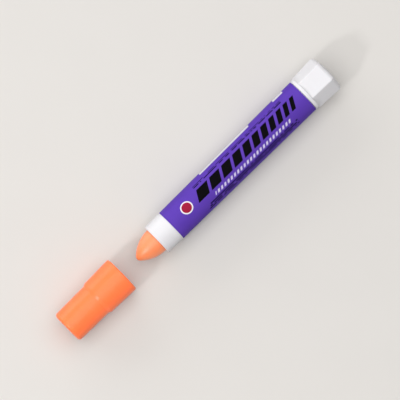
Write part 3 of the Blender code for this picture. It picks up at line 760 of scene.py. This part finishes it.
# Cap liner: the thin stepped cup pushed into the cap, moulded in natural polyethylene.
# Its soft rim seals on the barrel's mouth, so that the paint doesn't dry.
LINER_WALL = 0.45 * MM
LINER_RADIUS = 6.8 * MM
LINER_RIM_RADIUS = 7.96 * MM
LINER_RIM_WALL = 0.9 * MM
LINER_END_ROUND = 0.3 * MM
LINER_RIM_ROUND = 0.2 * MM
LINER_LIP_ROUND = 0.3 * MM
LINER_STEP_ROUND = 0.2 * MM
LINER_STEP_BREAK = 0.1 * MM

liner_low, liner_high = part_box("cap_liner")
liner_step = bore_step + SEAT_GAP
liner_floor = liner_low.x + LINER_WALL
cap_liner = turned(
    "cap_liner_cup",
    rounded([
        (liner_low.x, 0, 0),
        (liner_low.x, LINER_RADIUS, LINER_END_ROUND),
        (liner_step, LINER_RADIUS, 0),
        (liner_step, LINER_RIM_RADIUS, LINER_STEP_BREAK),
        (liner_high.x, LINER_RIM_RADIUS, LINER_RIM_ROUND),
        (liner_high.x, LINER_RIM_RADIUS - LINER_RIM_WALL, LINER_LIP_ROUND),
        (liner_step + LINER_WALL, LINER_RIM_RADIUS - LINER_RIM_WALL, LINER_STEP_ROUND),
        (liner_step + LINER_WALL, LINER_RADIUS - LINER_WALL, LINER_STEP_ROUND),
        (liner_floor, LINER_RADIUS - LINER_WALL, LINER_END_ROUND),
        (liner_floor, 0, 0),
    ]),
    "cap",
    on_axis=True,
)
cap_liner.data.materials.append(natural_polyethylene)
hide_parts("cap_liner")


# Table: a plain pale sheet of matt card under the marker, with soft lamps above and beside it and a dim room
# all round.
FLOOR_SIZE = 6.0
ROOM_LIGHT = 0.42

floor_mesh = bpy.data.meshes.new("table_sheet")
half = FLOOR_SIZE / 2
floor_mesh.from_pydata(
    [(-half, -half, 0), (half, -half, 0), (half, half, 0), (-half, half, 0)], [], [(0, 1, 2, 3)]
)
floor = bpy.data.objects.new("table_sheet", floor_mesh)
bpy.context.scene.collection.objects.link(floor)
table_sheet, tree, shader = finish("pale card, matt", roughness=0.8)
place = add(tree, "ShaderNodeTexCoord").outputs["Object"]
fibre = add(tree, "ShaderNodeTexNoise", {"Vector": place, "Scale": 1 / (30 * MM), "Detail": 4.0})
shades = {"Factor": fibre.outputs["Fac"], "A": linear("#E4E1DD"), "B": linear("#E1DEDA")}
card = add(tree, "ShaderNodeMix", shades, data_type="RGBA")
# The card looks pale to the eye and in reflections, and throws less light than it shows onto the marker.
ray = add(tree, "ShaderNodeLightPath").outputs
reflected = {0: ray["Is Glossy Ray"], 1: ray["Is Transmission Ray"]}
mirrored = add(tree, "ShaderNodeMath", reflected, operation="MAXIMUM").outputs[0]
seen = add(tree, "ShaderNodeMath", {0: ray["Is Camera Ray"], 1: mirrored}, operation="MAXIMUM").outputs[0]
shades = {"Factor": seen, "A": linear("#706E6C"), "B": card.outputs["Result"]}
shown = add(tree, "ShaderNodeMix", shades, data_type="RGBA")
tree.links.new(shown.outputs["Result"], shader.inputs["Base Color"])
floor_mesh.materials.append(table_sheet)

# A wide soft lamp hangs almost overhead, a second one low on the +Y side lifts the side towards it, and
# a small one beyond the cap puts the glints on its shoulder and on the nose of the paint.
for name, place, width, height, watts in (
    ("soft_overhead", (0, 0.03, 0.9), 1.5, 1.0, 5.75),
    ("soft_side", (0, 1.02, 0.22), 1.5, 0.8, 6.1),
    ("soft_front", (-0.77, -0.02, 0.64), 0.14, 0.14, 2.0),
):
    lamp = bpy.data.lights.new(name, "AREA")
    lamp.shape = "RECTANGLE"
    lamp.size = width
    lamp.size_y = height
    lamp.energy = watts
    hung = bpy.data.objects.new(name, lamp)
    hung.location = place
    hung.rotation_euler = Vector(place).to_track_quat("Z", "Y").to_euler()
    bpy.context.scene.collection.objects.link(hung)

world = bpy.data.worlds.new("dim studio")
bpy.context.scene.world = world
world.use_nodes = True
sky = world.node_tree.nodes["Background"]
sky.inputs["Color"].default_value = linear("#F4F2F0")
sky.inputs["Strength"].default_value = ROOM_LIGHT
bpy.context.scene.view_settings.view_transform = "Standard"


# Camera: a long lens nearly straight above the marker, leaning a little to its darker side and to its tip.
# The tip and the axis lie where the photograph has them.
PIXEL = 0.445 * MM
IMAGE_PIXELS = 400
TIP_PIXEL = (137.1, 259.3)
AXIS_TILT = math.radians(44.55)
SIDE_LEAN = math.radians(5.5)
TIP_LEAN = math.radians(2.2)
CAMERA_DISTANCE = 4.0

back = Vector((-math.tan(TIP_LEAN), -math.tan(SIDE_LEAN), 1)).normalized()
along_marker = (Vector((1, 0, 0)) - back * back.x).normalized()
across = back.cross(along_marker)
right_of_tip = (IMAGE_PIXELS / 2 - TIP_PIXEL[0]) * PIXEL
below_tip = (IMAGE_PIXELS / 2 - TIP_PIXEL[1]) * PIXEL
ahead = right_of_tip * math.cos(AXIS_TILT) - below_tip * math.sin(AXIS_TILT)
aside = right_of_tip * math.sin(AXIS_TILT) + below_tip * math.cos(AXIS_TILT)
target = Vector((tip, 0, axis_height)) + along_marker * ahead - across * aside
right = along_marker * math.cos(AXIS_TILT) - across * math.sin(AXIS_TILT)
up = along_marker * math.sin(AXIS_TILT) + across * math.cos(AXIS_TILT)

lens = bpy.data.cameras.new("long_lens")
lens.sensor_width = 36
lens.lens = lens.sensor_width * CAMERA_DISTANCE / (IMAGE_PIXELS * PIXEL)
lens.clip_start = 0.05
lens.clip_end = 20
camera = bpy.data.objects.new("camera", lens)
camera.matrix_world = (
    Matrix.Translation(target + back * CAMERA_DISTANCE) @ Matrix((right, up, back)).transposed().to_4x4()
)
bpy.context.scene.collection.objects.link(camera)
bpy.context.scene.camera = camera
